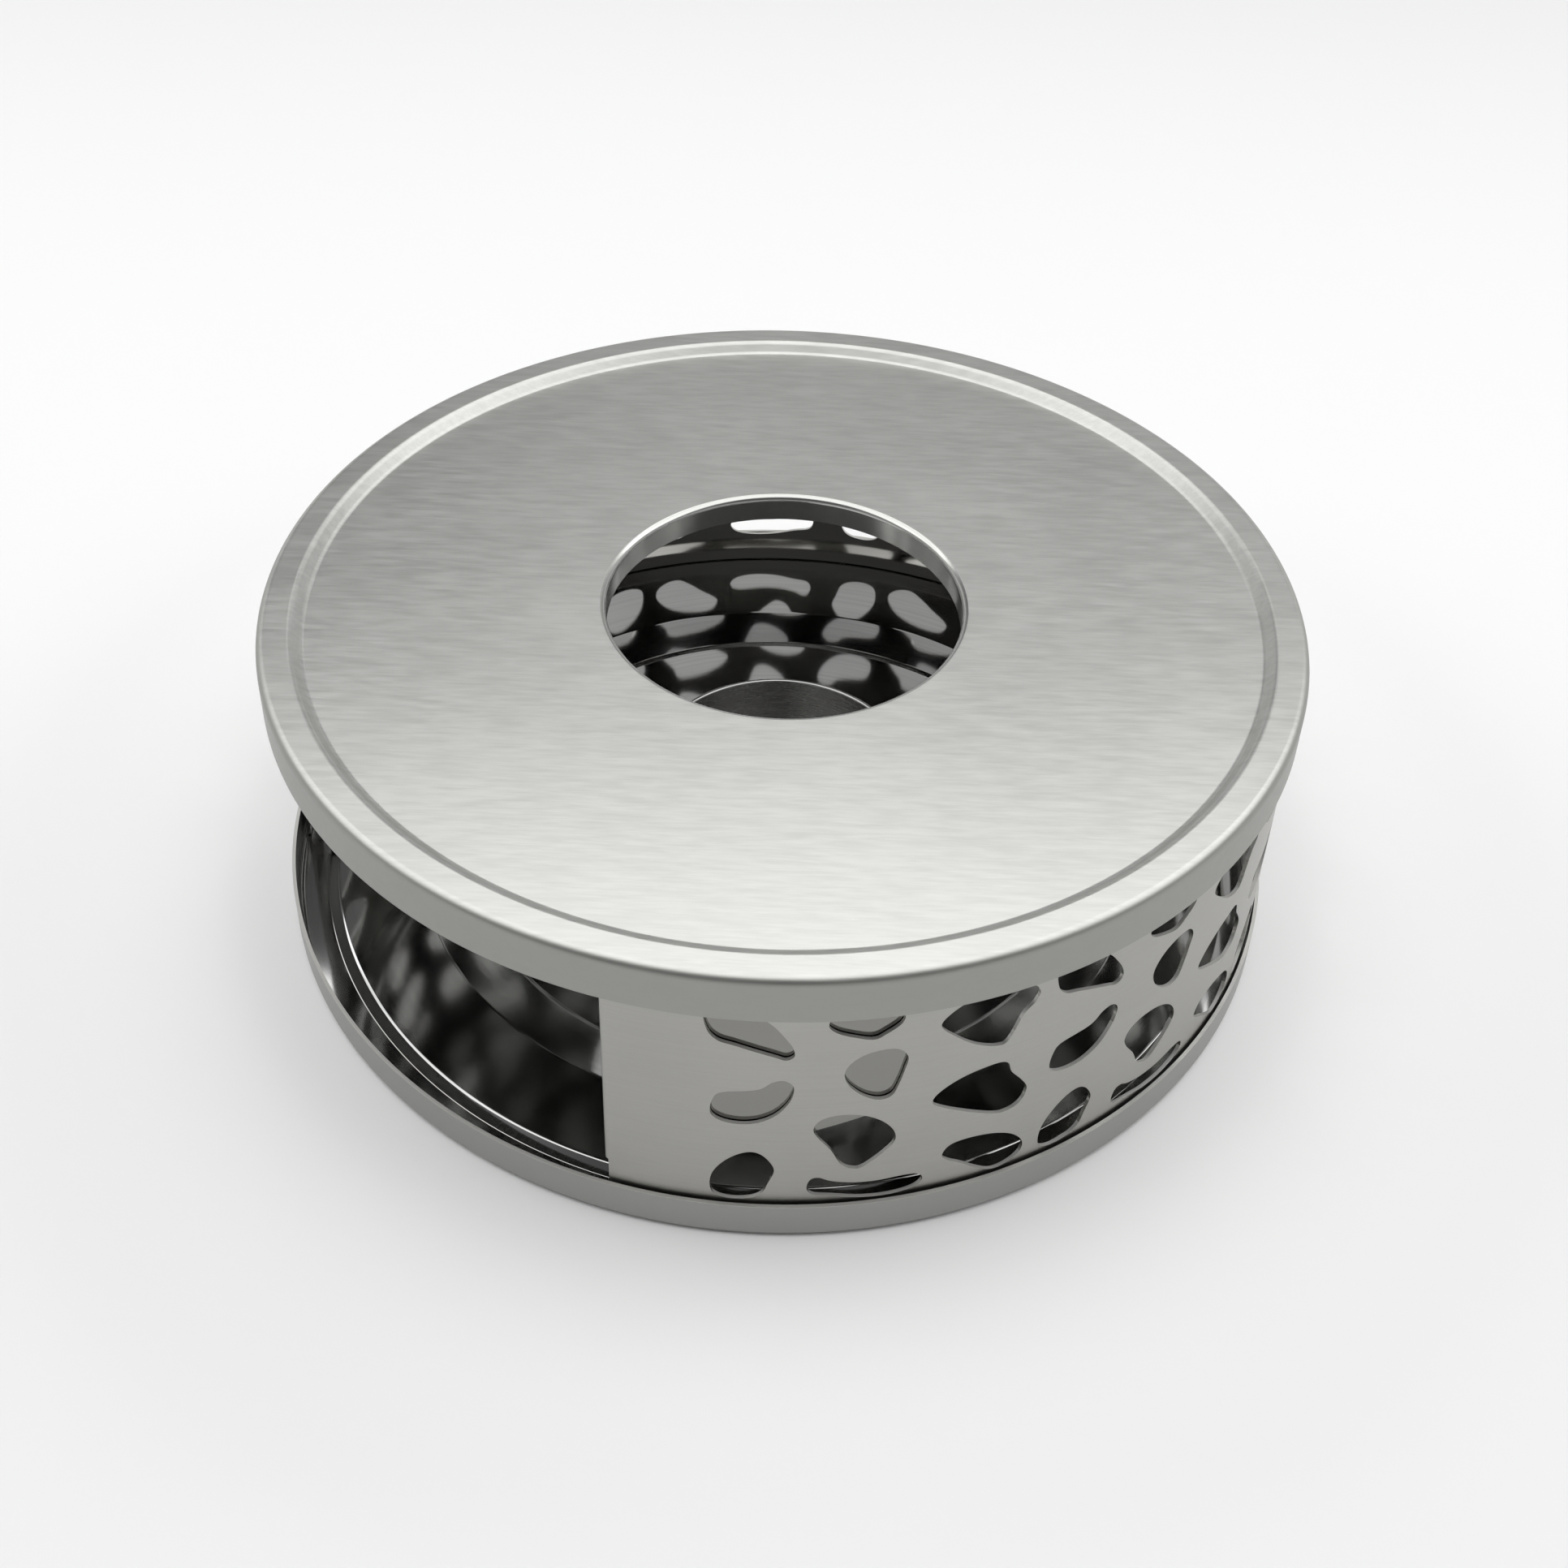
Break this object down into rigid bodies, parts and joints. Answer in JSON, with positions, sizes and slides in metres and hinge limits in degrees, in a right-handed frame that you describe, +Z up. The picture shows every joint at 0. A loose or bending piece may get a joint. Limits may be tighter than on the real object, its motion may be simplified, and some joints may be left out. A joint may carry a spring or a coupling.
{
  "type": "teapot warmer",
  "caption": "Round steel teapot warmer: brushed top with a central hole, pebble-punched wall with a doorway, base tray and candle cup.",
  "frame": {"origin": "centre of the warmer at the height of the table it stands on", "axes": "+Z up along the axis of the round body, -Y out through the doorway"},
  "size_m": [0.15, 0.15, 0.0494],
  "materials": {
    "tray_steel": "polished stainless sheet",
    "wall_steel": "satin stainless strip",
    "brushed_cover": "line-brushed stainless sheet",
    "cup_steel": "drawn thin sheet"
  },
  "bodies": {
    "stand": {"base_tray": "tray_steel", "perforated_wall": "wall_steel"},
    "cover": {"top_cover": "brushed_cover"},
    "cup": {"candle_cup": "cup_steel"}
  },
  "joints": [
    {"name": "cover_lift", "type": "slide", "parent": "stand", "child": "cover", "axis": [0, 0, 1], "range_m": [0, 0.04]},
    {"name": "cup_out", "type": "slide", "parent": "stand", "child": "cup", "axis": [0, -0.9877, 0.1564], "range_m": [0, 0.1]}
  ]
}
